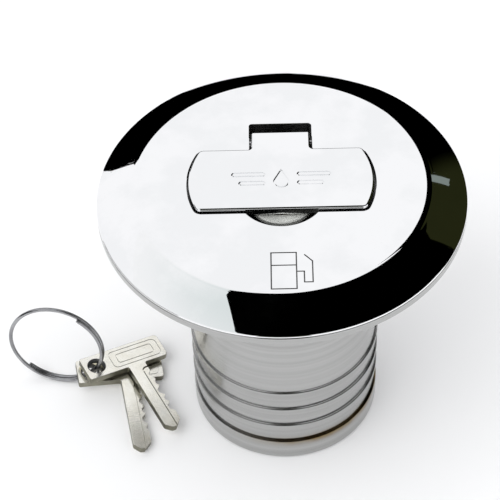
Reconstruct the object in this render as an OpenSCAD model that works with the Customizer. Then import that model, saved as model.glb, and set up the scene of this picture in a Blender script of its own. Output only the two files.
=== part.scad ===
// Locking deck fill for a boat: a flanged filler with a hose tail, a screw cap
// that covers the flange, a lock under a folding handle, and two keys.
// Millimetres, +Z up. The origin is on the neck's axis, on the flange's underside.

/* [Filler] */
// Radius of the deck flange and of the cap that covers it
flange_r = 46; // [44:0.5:60]
// Thickness of the deck flange
flange_t = 2.2; // [2:0.1:4]
// Length of the neck below the deck
neck_len = 73.3; // [66:0.5:120]
// Outer radius of the plain neck
neck_r = 24; // [23.8:0.1:26]
// Radius over the hose barbs
barb_r = 25; // [24.8:0.1:27]
// Depth of the highest hose barb below the deck
barb_top = 45.7; // [40:0.5:60]
// Distance from one barb to the next
barb_pitch = 6.8; // [5:0.1:9]
// Cylindrical land on each hose barb
barb_land = 1.2; // [0.8:0.1:2]
// Radius of the fuel bore
bore_r = 21.5; // [20.8:0.1:22]
// Circle that the deck screws sit on
screw_pcd = 74; // [70:0.5:80]
// Radius of the deck screw holes
screw_hole_r = 2.6; // [2:0.1:3]
// Number of deck screws
screw_count = 4; // [3:1:6]

/* [Thread] */
// Radius of the throat that the plug drops into
throat_r = 20; // [19:0.1:20.5]
// Rise of the cap for one full turn
lead = 24; // [16:1:30]
// Number of thread starts
starts = 3; // [2:1:3]
// Height of one thread lug
lug_h = 3; // [2:0.1:3.5]
// How far a lug stands out of the plug
lug_out = 1.8; // [1:0.1:2]
// Angle that one lug spans
lug_span = 28; // [16:2:40]
// Depth of the throat's lower edge, which the tongue hooks under
ledge_depth = 18.2; // [17:0.1:22]

/* [Cap] */
// Height of the cap's flat top above the deck
cap_top = 7.3; // [6.8:0.1:10]
// Radius of the flat top, inside the bevel
shoulder_r = 36.5; // [33:0.5:40]
// Height of the plain edge below the bevel
rim_h = 0.45; // [0.3:0.05:2]
// Wall of the cap's hollow skirt
cap_wall = 1.6; // [1.2:0.1:2]
// Radius of the cap's solid middle
boss_r = 28; // [26:0.5:30]
// Radius of the finger pocket around the lock
pocket_r = 11; // [9.5:0.1:12]
// Floor of the finger pocket above the deck
pocket_floor = 3.6; // [3.4:0.1:4]
// Place of the lock in front of the cap's axis
lock_y = -4; // [-4.4:0.1:-3.6]

/* [Handle] */
// Front edge of the handle
bar_front = -10; // [-11:0.1:-9]
// Rear edge of the handle's wide bar
bar_rear = 10.8; // [10:0.1:11.5]
// Radius that rounds the bar's two ends, about the cap's axis
bar_end_r = 23; // [21:0.5:24]
// Width of the handle's stem
stem_w = 15; // [13:0.5:17]
// Rear edge of the stem
stem_rear = 16.9; // [16.5:0.1:17.5]
// Rear edge of the slot behind the stem
slot_rear = 20.7; // [20:0.1:21.5]
// Thickness of the handle
flap_t = 2.2; // [1.8:0.1:2.6]
// How far the handle stands above the cap
flap_proud = 1; // [0.7:0.1:1.6]
// Place of the hinge pin behind the cap's axis
hinge_y = 15; // [14.6:0.1:15.4]
// Height of the hinge pin above the deck
hinge_z = 5.6; // [5.5:0.1:5.8]
// Radius of the hinge pin
pin_r = 1; // [0.8:0.1:1.1]
// Outer radius of the hinge knuckles
knuckle_r = 2; // [1.7:0.1:2.1]

/* [Lock] */
// Wall of the lock's barrel round its core
barrel_wall = 2.1; // [1.9:0.1:2.4]
// Depth of the barrel's lower end below the deck
barrel_end = 17.2; // [16:0.1:18]
// Radius of the turning core
core_r = 4.4; // [4.2:0.1:4.8]
// Wall of the lock's nut at its flats
nut_wall = 1.5; // [1:0.1:2]
// Thickness of the lock's nut
nut_t = 3.5; // [3:0.1:5]
// Number of wafers
wafer_count = 5; // [3:1:5]
// Distance between wafers
wafer_pitch = 3; // [2.4:0.1:3.2]
// Travel of a wafer
wafer_travel = 0.8; // [0.5:0.1:0.8]
// Width of the tongue
tongue_w = 8; // [6:0.5:9]
// Thickness of the tongue
tongue_t = 2; // [1.5:0.1:2.5]
// How far the tongue hooks under the ledge
tongue_hook = 1.9; // [1:0.1:2]

/* [Keys] */
// Length of a key's blade, from the bow to the tip
blade_len = 23.4; // [20:0.2:26]
// Width of a key's blade
blade_w = 5; // [4.6:0.1:5.4]
// Thickness of a key
key_t = 1.9; // [1.6:0.1:2]
// Length of a key's bow
bow_len = 24; // [20:0.5:28]
// Width of a key's bow
bow_w = 7.8; // [6:0.2:10]
// Radius of the hole for the ring
key_hole_r = 2.1; // [2:0.1:2.6]
// Radius of the split ring, to the middle of its wire
ring_r = 13; // [11:0.5:16]
// Thickness of the split ring's wire
ring_wire = 1.1; // [0.9:0.1:1.3]

/* [Hidden] */
$fn = 96;

chrome = [0.86, 0.87, 0.88];
steel = [0.62, 0.63, 0.64];
brass = [0.80, 0.66, 0.38];
nickel = [0.84, 0.81, 0.75];
black_rubber = [0.08, 0.08, 0.08];

fine = 0.01;            // overlap of joined shapes, and overshoot of cuts
part_gap = 0.15;        // air between the cap and the flange
running = 0.05;         // radial clearance of a turning fit
press = 0.02;           // radial clearance of a fixed pin or screw
skin_gap = 0.3;         // air between a moving piece and the piece round it
edge = 0.3;             // chamfer on cast edges
over = 2;               // how far a cut runs past what it cuts

// filler
barb_foot = 0.3;                    // plain neck between a barb's taper and the next ledge
end_groove_t = 0.9;                 // height of the groove above the tail's last land
end_groove_depth = 0.6;             // and its depth below the neck
end_groove_drop = 0.4;              // and its place below the barbs' own pitch
tail_chamfer_h = 1;
tail_chamfer_r = 0.4;
bore_chamfer = 0.5;
sink_h = 1.2;                       // countersink of a deck screw hole
sink_r = 1.3;                       // and how much wider it is than the hole
seat_r = neck_r - 0.3;              // counterbore for the seal
seat_z = flange_t - 1.45;           // floor of that counterbore
undercut_r = throat_r + 2.3;        // room for the tongue below the ledge
undercut_end = ledge_depth + 10;
groove_r = throat_r + 1.6;          // bottom of the thread grooves
groove_h = lug_h + 0.7;
lug_r = throat_r - 0.6 + lug_out;   // outside of the lugs
lug_mid = -7.5;                     // height of a lug's middle, cap closed
thread_turn = (seat_z + groove_h / 2 + 1 - lug_mid) / lead * 360;
groove_steps = 40;

// cap and plug
cap_under = flange_t + part_gap;    // lowest face of the cap
rim_top = cap_under + rim_h;
boss_z = flange_t + 0.25;           // underside of the cap's middle
bevel_slope = (cap_top - rim_top) / (flange_r - shoulder_r);
cavity_chamfer = 0.3;
skin_step = 0.1;                    // extra wall below the shoulder
cavity_edge = 0.17;                 // height of the hollow at its outer edge
cavity_r = shoulder_r + (cap_top - cap_wall - skin_step - cap_under - cavity_edge) / bevel_slope;
rim_chamfer_r = 0.2;                // lower edge of the cap
rim_chamfer_h = 0.15;
plug_r = throat_r - 0.6;
plug_wall = 2.6;
plug_end = -17;
plug_plate_t = 3.25;
plate_bottom = boss_z - plug_plate_t;
plug_screw_r = 1.5;
plug_screw_head_r = 2.8;
plug_screw_head_t = 1.6;
plug_screw_hex_r = 1.3;
screw_x = plug_r - plug_wall - plug_screw_head_r - 0.7;
screw_spots = [[-screw_x, 1.5], [screw_x, 1.5], [0, 9.6]];
plug_screw_depth = 2.2;             // how far a plug screw reaches into the cap

// handle
flap_top = cap_top + flap_proud;
flap_under = flap_top - flap_t;
recess_gap = 0.4;                   // air round the handle's edge
recess_floor = flap_under - skin_gap;
stem_root = 1.5;                    // how far the stem runs into the bar
slot_floor = hinge_z - knuckle_r - skin_gap;
slot_front = hinge_y - knuckle_r - skin_gap;
pin_half = stem_w / 2 + 3;
spring_half = 3;                    // half the gap between the knuckles
spring_wire = 0.3;
spring_turns = 7;
tail_arris = 0.7;                   // rounding on the stem's rear edge
spring_mid_r = pin_r + spring_wire + 0.25;

// lock
barrel_r = core_r + barrel_wall;
head_r = barrel_r + 1.5;
nut_af = 2 * (barrel_r + nut_wall);
gasket_t = 0.5;
head_z = pocket_floor + gasket_t;
head_t = 1.2;
face_z = head_z + head_t;
core_head_r = core_r + 0.9;
core_head_t = 0.8;
barrel_hole_r = barrel_r + 0.1;
nut_top = plate_bottom;
key_slack = 0.2;                    // how much wider the keyway is than the key
keyway_w = blade_w + key_slack;
keyway_t = key_t + key_slack;
keyway_depth = 21;
core_flat = core_r - 1.3;           // half the width across the core's flats
flat_fit = 1.01;                    // how much larger the holes on the flats are
washer_gap = 0.2;
washer_t = 0.8;
washer_z = -barrel_end - washer_gap;
stop_in_r = barrel_r - 1.3;
stop_out_r = barrel_r - 0.15;
stop_span = 60;                     // angle of the washer's tab
stop_slack = 2;
tongue_top = -ledge_depth - 0.4;
tongue_bottom = tongue_top - tongue_t;
core_end = tongue_bottom + 0.2;
tongue_tip_r = throat_r + tongue_hook;
tongue_hub_r = core_r + 1.1;
cam_screw_r = 1.6;
cam_screw_head_r = 3.4;
cam_screw_head_t = 1.8;
cam_screw_len = 4;
cam_screw_flange_r = core_r + 0.6;
cam_screw_flange_t = 0.6;
cross_w = 3.6;                      // cross recess in the tongue's screw
cross_t = 0.8;
wafer_w = 3.8;
wafer_t = 0.8;
wafer_len = 2 * core_r - 1;
wafer_slack = 0.1;
wafer_first = 1;                    // height of the highest wafer's middle
window_w = keyway_w + 0.3;          // hole in a wafer that the key passes through
window_t = keyway_t + 0.2;
ear_y = 3.1;                        // end of the wafer's ear
ear_half = 0.45;
wafer_groove_r = wafer_len / 2 + wafer_travel + 0.55;
pocket_x = 2.3;                     // side pocket for a wafer's ear and spring
pocket_reach = 1.6;
small_spring_r = 0.44;
small_spring_in = 0.22;
small_spring_turns = 5;
oring_r = 0.5;                      // section radius of the core's ring seal
oring_z = 3.6;

// keys and ring, lying on the surface that the neck stands on
floor_z = -neck_len;
ring_at = [-63, 4.7];
ring_turn = -11;
ring_lean = 83.5;
ring_pitch = 1.02 * ring_wire;
ring_rest = 0.65;                   // lowest point of the wire's middle above the floor
ring_centre_z = floor_z + ring_rest + ring_r * sin(ring_lean);
// heights of a key's middle above the floor: at its hole, its blade's tip and its bow's far end
key_a_z = [6.6, 3.2, 3.6];
key_a_turn = 29;
key_b_z = [4.2, 1.15, 1.2];
key_b_turn = 11.5;
blade_x = 10.6;                     // middle of the blade, right of the key's hole
bow_left = 3.6;                     // end of the bow, left of the key's hole
bow_corner = 1;
ward_w = 0.9;                       // groove along the blade
ward_off = 0.2;                     // its left edge, right of the blade's middle
ward_depth = 0.35;
dish = 0.5;                         // countersink of the key's hole
first_cut = 4.6;                    // first notch of the bitting, from the bow
ring_start = 225;                   // where the wire's lower end lies
ring_turns = 1.5;

// outline of the handle, grown by g on all sides
module handle_outline(g) {
    intersection() {
        translate([-bar_end_r - g, bar_front - g])
            square([2 * (bar_end_r + g), bar_rear - bar_front + 2 * g]);
        circle(r = bar_end_r + g);
    }
    translate([-stem_w / 2 - g, bar_rear - stem_root])
        square([stem_w + 2 * g, stem_rear - bar_rear + stem_root + g]);
}

// a bar of rectangular section that climbs along a helix
module helix_bar(r_in, r_out, h, a0, a1, steps) {
    rings = [for (i = [0 : steps]) let (a = a0 + (a1 - a0) * i / steps, z = lead * a / 360)
        [[r_in * cos(a), r_in * sin(a), z - h / 2], [r_out * cos(a), r_out * sin(a), z - h / 2],
         [r_out * cos(a), r_out * sin(a), z + h / 2], [r_in * cos(a), r_in * sin(a), z + h / 2]]];
    sides = [for (i = [0 : steps - 1], k = [0 : 3])
        [4 * i + k, 4 * i + (k + 1) % 4, 4 * (i + 1) + (k + 1) % 4, 4 * (i + 1) + k]];
    polyhedron(points = [for (ring = rings) each ring],
        faces = concat([[3, 2, 1, 0]], sides,
            [[for (k = [0 : 3]) 4 * steps + k]]), convexity = 6);
}

// a round wire wound about Z: r from the axis, pitch for each turn
module coil(r, wire_r, pitch, turns, steps, sides) {
    n = turns * steps;
    rings = [for (i = [0 : n]) let (a = 360 * i / steps)
        [for (k = [0 : sides - 1]) let (b = 360 * k / sides, q = r + wire_r * cos(b))
            [q * cos(a), q * sin(a), pitch * i / steps + wire_r * sin(b)]]];
    quads = [for (i = [0 : n - 1], k = [0 : sides - 1])
        [sides * i + k, sides * (i + 1) + k,
         sides * (i + 1) + (k + 1) % sides, sides * i + (k + 1) % sides]];
    polyhedron(points = [for (ring = rings) each ring],
        faces = concat([[for (k = [0 : sides - 1]) k]], quads,
            [[for (k = [sides - 1 : -1 : 0]) sides * n + k]]), convexity = 8);
}

// the neck's outside from the flange to the lower end, barbs cut as sawteeth
function barb_points() = concat(
    [for (i = [0 : 2]) let (z = -barb_top - i * barb_pitch)
        each [[neck_r, z], [barb_r, z], [barb_r, z - barb_land], [neck_r, z - barb_pitch + barb_foot]]],
    let (z = -barb_top - 3 * barb_pitch - end_groove_drop, r = neck_r - end_groove_depth)
        [[r, z + end_groove_t], [r, z], [barb_r, z]]);

module filler_body() {
    color(chrome) difference() {
        rotate_extrude() polygon(concat(
            [[seat_r, flange_t], [flange_r - edge, flange_t], [flange_r, flange_t - edge],
             [flange_r, edge], [flange_r - edge, 0], [neck_r, 0]],
            barb_points(),
            [[barb_r, tail_chamfer_h - neck_len], [barb_r - tail_chamfer_r, -neck_len],
             [bore_r + bore_chamfer, -neck_len], [bore_r, bore_chamfer - neck_len],
             [bore_r, -undercut_end], [undercut_r, -undercut_end + 1],
             [undercut_r, -ledge_depth], [throat_r, -ledge_depth], [throat_r, seat_z],
             [seat_r, seat_z]]));
        for (i = [0 : screw_count - 1]) rotate((i + 0.5) * 360 / screw_count)
            translate([screw_pcd / 2, 0, 0]) {
                translate([0, 0, -fine]) cylinder(r = screw_hole_r, h = flange_t + 2 * fine);
                translate([0, 0, flange_t - sink_h])
                    cylinder(r1 = screw_hole_r, r2 = screw_hole_r + sink_r, h = sink_h + fine);
            }
        for (i = [0 : starts - 1]) rotate(i * 360 / starts) translate([0, 0, lug_mid])
            helix_bar(throat_r - 1, groove_r, groove_h, -lug_span / 2 - 2, thread_turn, groove_steps);
    }
}

module seal_ring() {
    color(black_rubber) rotate_extrude()
        translate([throat_r + 0.6, seat_z + 0.02])
            square([seat_r - throat_r - 0.7, boss_z - seat_z - 0.04]);
}

module cap_cover() {
    color(chrome) difference() {
        rotate_extrude() polygon([[0, boss_z], [boss_r, boss_z],
            [boss_r, cap_top - cap_wall], [shoulder_r - cavity_chamfer, cap_top - cap_wall],
            [cavity_r, cap_under + cavity_edge], [cavity_r + fine, cap_under],
            [flange_r - rim_chamfer_r, cap_under], [flange_r, cap_under + rim_chamfer_h],
            [flange_r, rim_top], [shoulder_r, cap_top], [0, cap_top]]);
        // seat of the handle
        translate([0, 0, recess_floor]) linear_extrude(cap_top) handle_outline(recess_gap);
        // slot that the stem's tail swings down into
        translate([-stem_w / 2 - recess_gap, slot_front, slot_floor])
            cube([stem_w + 2 * recess_gap, slot_rear - slot_front, cap_top]);
        // finger pocket and lock hole
        translate([0, lock_y, pocket_floor]) cylinder(r = pocket_r, h = cap_top);
        translate([0, lock_y, 0]) cylinder(r = barrel_hole_r, h = cap_top);
        // hinge pin's bore, open to the hollow on one side so the pin can be driven in
        translate([-pin_half - 0.1, hinge_y, hinge_z]) rotate([0, 90, 0])
            cylinder(r = pin_r + press, h = pin_half + boss_r);
        // tapped holes for the plug screws
        for (p = screw_spots) translate([p[0], p[1], boss_z - fine])
            cylinder(r = plug_screw_r + press, h = plug_screw_depth + 0.3);
    }
}

module flap() {
    color(chrome) difference() {
        union() {
            translate([0, 0, flap_under]) linear_extrude(flap_t) handle_outline(0);
            translate([-stem_w / 2, hinge_y, hinge_z]) rotate([0, 90, 0])
                cylinder(r = knuckle_r, h = stem_w);
        }
        translate([-stem_w / 2 - 1, hinge_y, hinge_z]) rotate([0, 90, 0])
            cylinder(r = pin_r + running, h = stem_w + 2);
        // room for the spring between the two knuckles
        translate([-spring_half - skin_gap, hinge_y, hinge_z]) rotate([0, 90, 0])
            cylinder(r = knuckle_r + recess_gap, h = 2 * (spring_half + skin_gap));
        // tail's rear arris, rounded off where it swings past the slot's floor
        translate([0, stem_rear, flap_top]) rotate([45, 0, 0])
            cube([stem_w + over, tail_arris, tail_arris], center = true);
    }
}

module hinge_pin() {
    color(steel) translate([-pin_half, hinge_y, hinge_z]) rotate([0, 90, 0])
        cylinder(r = pin_r, h = 2 * pin_half);
}

module flap_spring() {
    pitch = 2 * (spring_half - spring_wire) / spring_turns;
    color(steel) translate([-spring_half + spring_wire, hinge_y, hinge_z]) rotate([0, 90, 0])
        coil(spring_mid_r, spring_wire, pitch, spring_turns, 16, 6);
}

module plug_body() {
    color(steel) difference() {
        union() {
            translate([0, 0, plug_end]) cylinder(r = plug_r, h = boss_z - plug_end);
            for (i = [0 : starts - 1]) rotate(i * 360 / starts) translate([0, 0, lug_mid])
                helix_bar(plug_r - 1, lug_r, lug_h, -lug_span / 2, lug_span / 2, 6);
        }
        translate([0, 0, plug_end - fine])
            cylinder(r = plug_r - plug_wall, h = plate_bottom - plug_end + fine);
        translate([0, lock_y, plate_bottom - over / 2])
            cylinder(r = barrel_hole_r, h = plug_plate_t + over);
        for (p = screw_spots) translate([p[0], p[1], plate_bottom - over / 2])
            cylinder(r = plug_screw_r + 0.2, h = plug_plate_t + over);
    }
}

module plug_screws() {
    color(steel) for (p = screw_spots) translate([p[0], p[1], plate_bottom]) {
        translate([0, 0, -0.5]) cylinder(r = plug_screw_r, h = plug_plate_t + plug_screw_depth + 0.5);
        difference() {
            translate([0, 0, -plug_screw_head_t]) cylinder(r = plug_screw_head_r, h = plug_screw_head_t);
            translate([0, 0, -plug_screw_head_t - 0.1]) cylinder(r = plug_screw_hex_r, h = 1, $fn = 6);
        }
    }
}

module lock_gasket() {
    color(black_rubber) translate([0, lock_y, pocket_floor]) difference() {
        cylinder(r = head_r - 0.1, h = gasket_t);
        translate([0, 0, -over / 2]) cylinder(r = barrel_hole_r, h = gasket_t + over);
    }
}

module lock_housing() {
    color(steel) translate([0, lock_y, 0]) difference() {
        union() {
            rotate_extrude() polygon([[0, -barrel_end], [barrel_r, -barrel_end], [barrel_r, head_z],
                [head_r, head_z], [head_r, face_z - edge], [head_r - edge, face_z], [0, face_z]]);
            // fixed half of the turn stop, below the barrel
            translate([0, 0, -barrel_end - washer_gap - washer_t]) rotate(stop_span / 2 + stop_slack)
                rotate_extrude(angle = 270 - stop_span - 2 * stop_slack)
                    translate([stop_in_r, 0])
                        square([stop_out_r - stop_in_r, washer_gap + washer_t + 0.5]);
        }
        translate([0, 0, -barrel_end - 2]) cylinder(r = core_r + running, h = face_z + barrel_end + 3);
        translate([0, 0, face_z - core_head_t]) cylinder(r = core_head_r + running, h = 2);
        // grooves that the wafers spring into
        for (a = [0 : 90 : 270]) rotate(a)
            translate([0, -wafer_w / 2 - wafer_slack, wafer_first - wafer_count * wafer_pitch])
                cube([wafer_groove_r, wafer_w + 2 * wafer_slack, wafer_count * wafer_pitch + wafer_t]);
    }
}

module lock_nut() {
    color(brass) translate([0, lock_y, nut_top - nut_t]) difference() {
        cylinder(d = nut_af / cos(30), h = nut_t, $fn = 6);
        translate([0, 0, -over / 2]) cylinder(r = barrel_r + press, h = nut_t + over);
    }
}

module flats(half, z0, z1) {
    intersection() {
        translate([0, 0, z0]) cylinder(r = core_r, h = z1 - z0);
        translate([-half, -core_r - 1, z0]) cube([2 * half, 2 * core_r + 2, z1 - z0]);
    }
}

module lock_core() {
    color(brass) translate([0, lock_y, 0]) difference() {
        union() {
            translate([0, 0, -barrel_end]) cylinder(r = core_r, h = barrel_end + face_z);
            translate([0, 0, face_z - core_head_t + 0.05])
                cylinder(r = core_head_r, h = core_head_t - 0.05);
            flats(core_flat, core_end, -barrel_end + fine);
        }
        // keyway
        translate([-keyway_w / 2, -keyway_t / 2, face_z - keyway_depth])
            cube([keyway_w, keyway_t, keyway_depth + 1]);
        // one slot for each wafer, with a side pocket for its ear and spring
        for (i = [0 : wafer_count - 1]) translate([0, 0, wafer_first - i * wafer_pitch]) {
            translate([-core_r - 1, -wafer_w / 2 - wafer_slack, -wafer_t / 2 - 0.05])
                cube([2 * core_r + 2, wafer_w + 2 * wafer_slack, wafer_t + 0.1]);
            translate([-pocket_x, wafer_w / 2, -0.5])
                cube([pocket_x + pocket_reach, ear_y + wafer_slack - wafer_w / 2, 1]);
        }
        // ring seal's groove
        translate([0, 0, oring_z]) rotate_extrude() translate([core_r - oring_r, 0]) {
            circle(r = oring_r, $fn = 24);
            translate([0, -oring_r]) square([over, 2 * oring_r]);
        }
        // tapped hole for the tongue's screw
        translate([0, 0, core_end - fine]) cylinder(r = cam_screw_r + press, h = cam_screw_len + 0.3);
    }
}

module core_oring() {
    color(black_rubber) translate([0, lock_y, oring_z]) rotate_extrude()
        translate([core_r - oring_r + 0.02, 0]) circle(r = oring_r - 0.01, $fn = 24);
}

module wafers() {
    color(brass) for (i = [0 : wafer_count - 1])
        translate([0, lock_y, wafer_first - i * wafer_pitch - wafer_t / 2]) difference() {
            union() {
                translate([-wafer_len / 2, -wafer_w / 2, 0]) cube([wafer_len, wafer_w, wafer_t]);
                translate([-ear_half, 0, 0]) cube([2 * ear_half, ear_y, wafer_t]);
            }
            translate([-window_w / 2, -window_t / 2, -over / 2]) cube([window_w, window_t, wafer_t + over]);
        }
}

module wafer_springs() {
    start = pocket_x - 0.1;
    pitch = (start - ear_half - 0.15) / small_spring_turns;
    root = small_spring_r - 0.1;
    length = small_spring_turns * pitch;
    // closely wound coils, each turn a ridge
    outside = [for (i = [0 : small_spring_turns - 1])
        each [[root, i * pitch], [small_spring_r, (i + 0.5) * pitch]]];
    color(steel) for (i = [0 : wafer_count - 1])
        translate([-start, lock_y + (wafer_w / 2 + ear_y) / 2, wafer_first - i * wafer_pitch])
            rotate([0, 90, 0]) rotate_extrude($fn = 24) polygon(concat(outside,
                [[root, length], [small_spring_in, length], [small_spring_in, 0]]));
}

module stop_washer() {
    color(steel) translate([0, lock_y, washer_z - washer_t]) difference() {
        union() {
            cylinder(r = stop_in_r - 0.15, h = washer_t);
            rotate(-stop_span / 2) rotate_extrude(angle = stop_span)
                translate([core_r - 1, 0]) square([stop_out_r - core_r + 1, washer_t]);
        }
        translate([0, 0, -over / 2]) scale(flat_fit) flats(core_flat, 0, washer_t + over);
    }
}

module tongue() {
    color(steel) translate([0, lock_y, tongue_bottom]) difference() {
        intersection() {
            union() {
                cylinder(r = tongue_hub_r, h = tongue_t);
                translate([0, -tongue_w / 2, 0]) cube([tongue_tip_r, tongue_w, tongue_t]);
            }
            // the tip's arc is about the cap's axis once the tongue has turned to -Y
            translate([lock_y, 0, -over / 2]) cylinder(r = tongue_tip_r, h = tongue_t + over);
        }
        translate([0, 0, -over / 2]) scale(flat_fit) flats(core_flat, 0, tongue_t + over);
    }
}

module tongue_screw() {
    color(steel) translate([0, lock_y, tongue_bottom]) difference() {
        union() {
            translate([0, 0, -cam_screw_flange_t]) cylinder(r = cam_screw_flange_r, h = cam_screw_flange_t);
            translate([0, 0, -cam_screw_head_t]) cylinder(r = cam_screw_head_r, h = cam_screw_head_t);
            translate([0, 0, -0.5]) cylinder(r = cam_screw_r, h = cam_screw_len + 0.5);
        }
        for (a = [0, 90]) translate([0, 0, -cam_screw_head_t]) rotate(a)
            cube([cross_w, cross_t, 2 * cross_t], center = true);
    }
}

// one key lying flat with its ring hole at the origin: bow along X, blade along -Y
module key_blank(cuts) {
    half_w = blade_w / 2;
    root = -bow_w / 2;
    tip = root - blade_len;
    bow_right = bow_len - bow_left;
    difference() {
        translate([0, 0, -key_t / 2]) linear_extrude(key_t) difference() {
            union() {
                polygon([[-bow_left, root + bow_corner], [bow_corner - bow_left, root],
                    [bow_right - bow_corner, root], [bow_right, root + bow_corner],
                    [bow_right, -root - bow_corner], [bow_right - bow_corner, -root],
                    [bow_corner - bow_left, -root], [-bow_left, -root - bow_corner]]);
                polygon([[blade_x - half_w, root + 1], [blade_x - half_w, tip + 1.6],
                    [blade_x - half_w + 1.8, tip], [blade_x - half_w + 3, tip],
                    [blade_x + half_w, tip + 2.2], [blade_x + half_w, root + 1]]);
            }
            circle(r = key_hole_r, $fn = 48);
            // bitting, cut into the blade's right edge
            for (i = [0 : len(cuts) - 1]) translate([blade_x + half_w, root - first_cut - i * wafer_pitch])
                polygon([[-cuts[i], -0.5], [-cuts[i], 0.5], [0.1, cuts[i] + 0.7], [0.1, -cuts[i] - 0.7]]);
        }
        // warding groove along both faces
        for (s = [-1, 1]) translate([blade_x + ward_off, tip - 1, s * key_t / 2 - ward_depth])
            cube([ward_w, blade_len + 0.5, 2 * ward_depth]);
        // dished hole
        for (s = [0, 1]) mirror([0, 0, s]) translate([0, 0, key_t / 2 - dish])
            cylinder(r1 = key_hole_r, r2 = key_hole_r + dish, h = dish + fine, $fn = 48);
    }
}

// where the ring's wire passes a height above the floor, on its right-hand side
function ring_point(h) =
    let (up = (floor_z + h - ring_centre_z) / sin(ring_lean),
         side = sqrt(ring_r * ring_r - up * up), back = up * cos(ring_lean))
    [ring_at[0] + side * cos(ring_turn) - back * sin(ring_turn),
     ring_at[1] + side * sin(ring_turn) + back * cos(ring_turn), floor_z + h];

// threads a key on the ring, tilted so that its hole, tip and bow lie at the heights in z
module lay_key(z, turn) {
    fall_x = (z[0] - z[2]) / (bow_len - bow_left);
    fall_y = (z[0] - z[1] - fall_x * blade_x) / (bow_w / 2 + blade_len);
    fall = norm([fall_x, fall_y]);
    way = atan2(-fall_y, fall_x);
    translate(ring_point(z[0])) rotate(turn + way) rotate([0, asin(fall), 0]) rotate(-way)
        children();
}

module key_a() {
    color(nickel) lay_key(key_a_z, key_a_turn) key_blank([0.9, 0.5, 1.2, 0.7, 1.1]);
}

module key_b() {
    color(nickel) lay_key(key_b_z, key_b_turn) key_blank([0.6, 1.1, 0.8, 1.2, 0.5]);
}

module split_ring() {
    color(steel) translate([ring_at[0], ring_at[1], ring_centre_z]) rotate(ring_turn)
        rotate([ring_lean, 0, 0]) rotate(ring_start) translate([0, 0, -ring_turns / 2 * ring_pitch])
            coil(ring_r, ring_wire / 2, ring_pitch, ring_turns, 40, 8);
}

filler_body();
seal_ring();
cap_cover();
flap();
hinge_pin();
flap_spring();
plug_body();
plug_screws();
lock_gasket();
lock_housing();
lock_nut();
lock_core();
core_oring();
wafers();
wafer_springs();
stop_washer();
tongue();
tongue_screw();
key_a();
key_b();
split_ring();
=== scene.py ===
import math

import bmesh
import bpy
import numpy as np
from mathutils import Matrix, Vector


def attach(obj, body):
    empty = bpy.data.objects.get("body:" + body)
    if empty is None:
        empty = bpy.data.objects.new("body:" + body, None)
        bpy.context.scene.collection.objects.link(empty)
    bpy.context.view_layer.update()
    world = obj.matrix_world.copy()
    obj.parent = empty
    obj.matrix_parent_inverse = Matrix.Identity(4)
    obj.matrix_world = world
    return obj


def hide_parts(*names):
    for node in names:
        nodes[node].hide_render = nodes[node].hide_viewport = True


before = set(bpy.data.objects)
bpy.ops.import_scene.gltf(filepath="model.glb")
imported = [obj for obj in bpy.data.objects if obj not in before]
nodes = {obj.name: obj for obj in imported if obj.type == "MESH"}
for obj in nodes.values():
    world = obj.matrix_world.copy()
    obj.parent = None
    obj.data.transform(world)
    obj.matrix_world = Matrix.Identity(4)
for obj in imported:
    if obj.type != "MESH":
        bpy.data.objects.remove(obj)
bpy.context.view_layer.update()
mm = 0.001
print("frame loaded")


def arc(cx, cy, r, a0, a1, n):
    # points on a circle from angle a0 to a1, in degrees, both ends included
    a = np.radians(np.linspace(a0, a1, n))
    return np.stack([cx + r * np.cos(a), cy + r * np.sin(a)], 1)


def roundCorners(corners, n=5):
    # polygon of (x, y, radius): each corner becomes an arc that meets both its sides
    out = []
    pts = [np.array(c[:2], float) for c in corners]
    for i, (x, y, r) in enumerate(corners):
        p = pts[i]
        a, b = pts[i - 1] - p, pts[(i + 1) % len(pts)] - p
        la, lb = np.linalg.norm(a), np.linalg.norm(b)
        a, b = a / la, b / lb
        half = math.acos(np.clip(a @ b, -1, 1)) / 2
        cut = r / math.tan(half) if r > 0 else 0
        if cut < 1e-6:
            out.append(p[None])
            continue
        cut = min(cut, 0.48 * la, 0.48 * lb)
        r = cut * math.tan(half)
        mid = (a + b) / np.linalg.norm(a + b)
        centre = p + mid * r / math.sin(half)
        s, e = p + a * cut - centre, p + b * cut - centre
        a0, a1 = math.atan2(s[1], s[0]), math.atan2(e[1], e[0])
        turn = (a1 - a0 + math.pi) % (2 * math.pi) - math.pi
        t = a0 + turn * np.linspace(0, 1, n)
        out.append(centre + r * np.stack([np.cos(t), np.sin(t)], 1))
    return np.concatenate(out)


def meshObject(name, verts, faces):
    # a mesh from points in millimetres
    mesh = bpy.data.meshes.new(name)
    mesh.from_pydata(np.asarray(verts) * mm, [], faces)
    mesh.update()
    obj = bpy.data.objects.new(name, mesh)
    bpy.context.scene.collection.objects.link(obj)
    return obj


def gridFaces(rows, cols):
    # quads of a closed loop of cols points, repeated in rows
    i, j = np.meshgrid(np.arange(rows - 1), np.arange(cols), indexing="ij")
    a, b = i * cols + j, i * cols + (j + 1) % cols
    return np.stack([a, b, b + cols, a + cols], -1).reshape(-1, 4).tolist()


def lathe(name, profile, sides):
    # each (radius, height) of the profile turned about Z, both ends closed by a flat face
    prof = np.array(profile, float)
    t = np.linspace(0, 2 * np.pi, sides, endpoint=False)
    x = prof[:, 0, None] * np.cos(t)
    y = prof[:, 0, None] * np.sin(t)
    z = np.repeat(prof[:, 1, None], sides, 1)
    faces = gridFaces(len(prof), sides)
    last = (len(prof) - 1) * sides
    faces.append(list(range(sides))[::-1])
    faces.append([last + k for k in range(sides)])
    return meshObject(name, np.stack([x, y, z], -1).reshape(-1, 3), faces)


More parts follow.
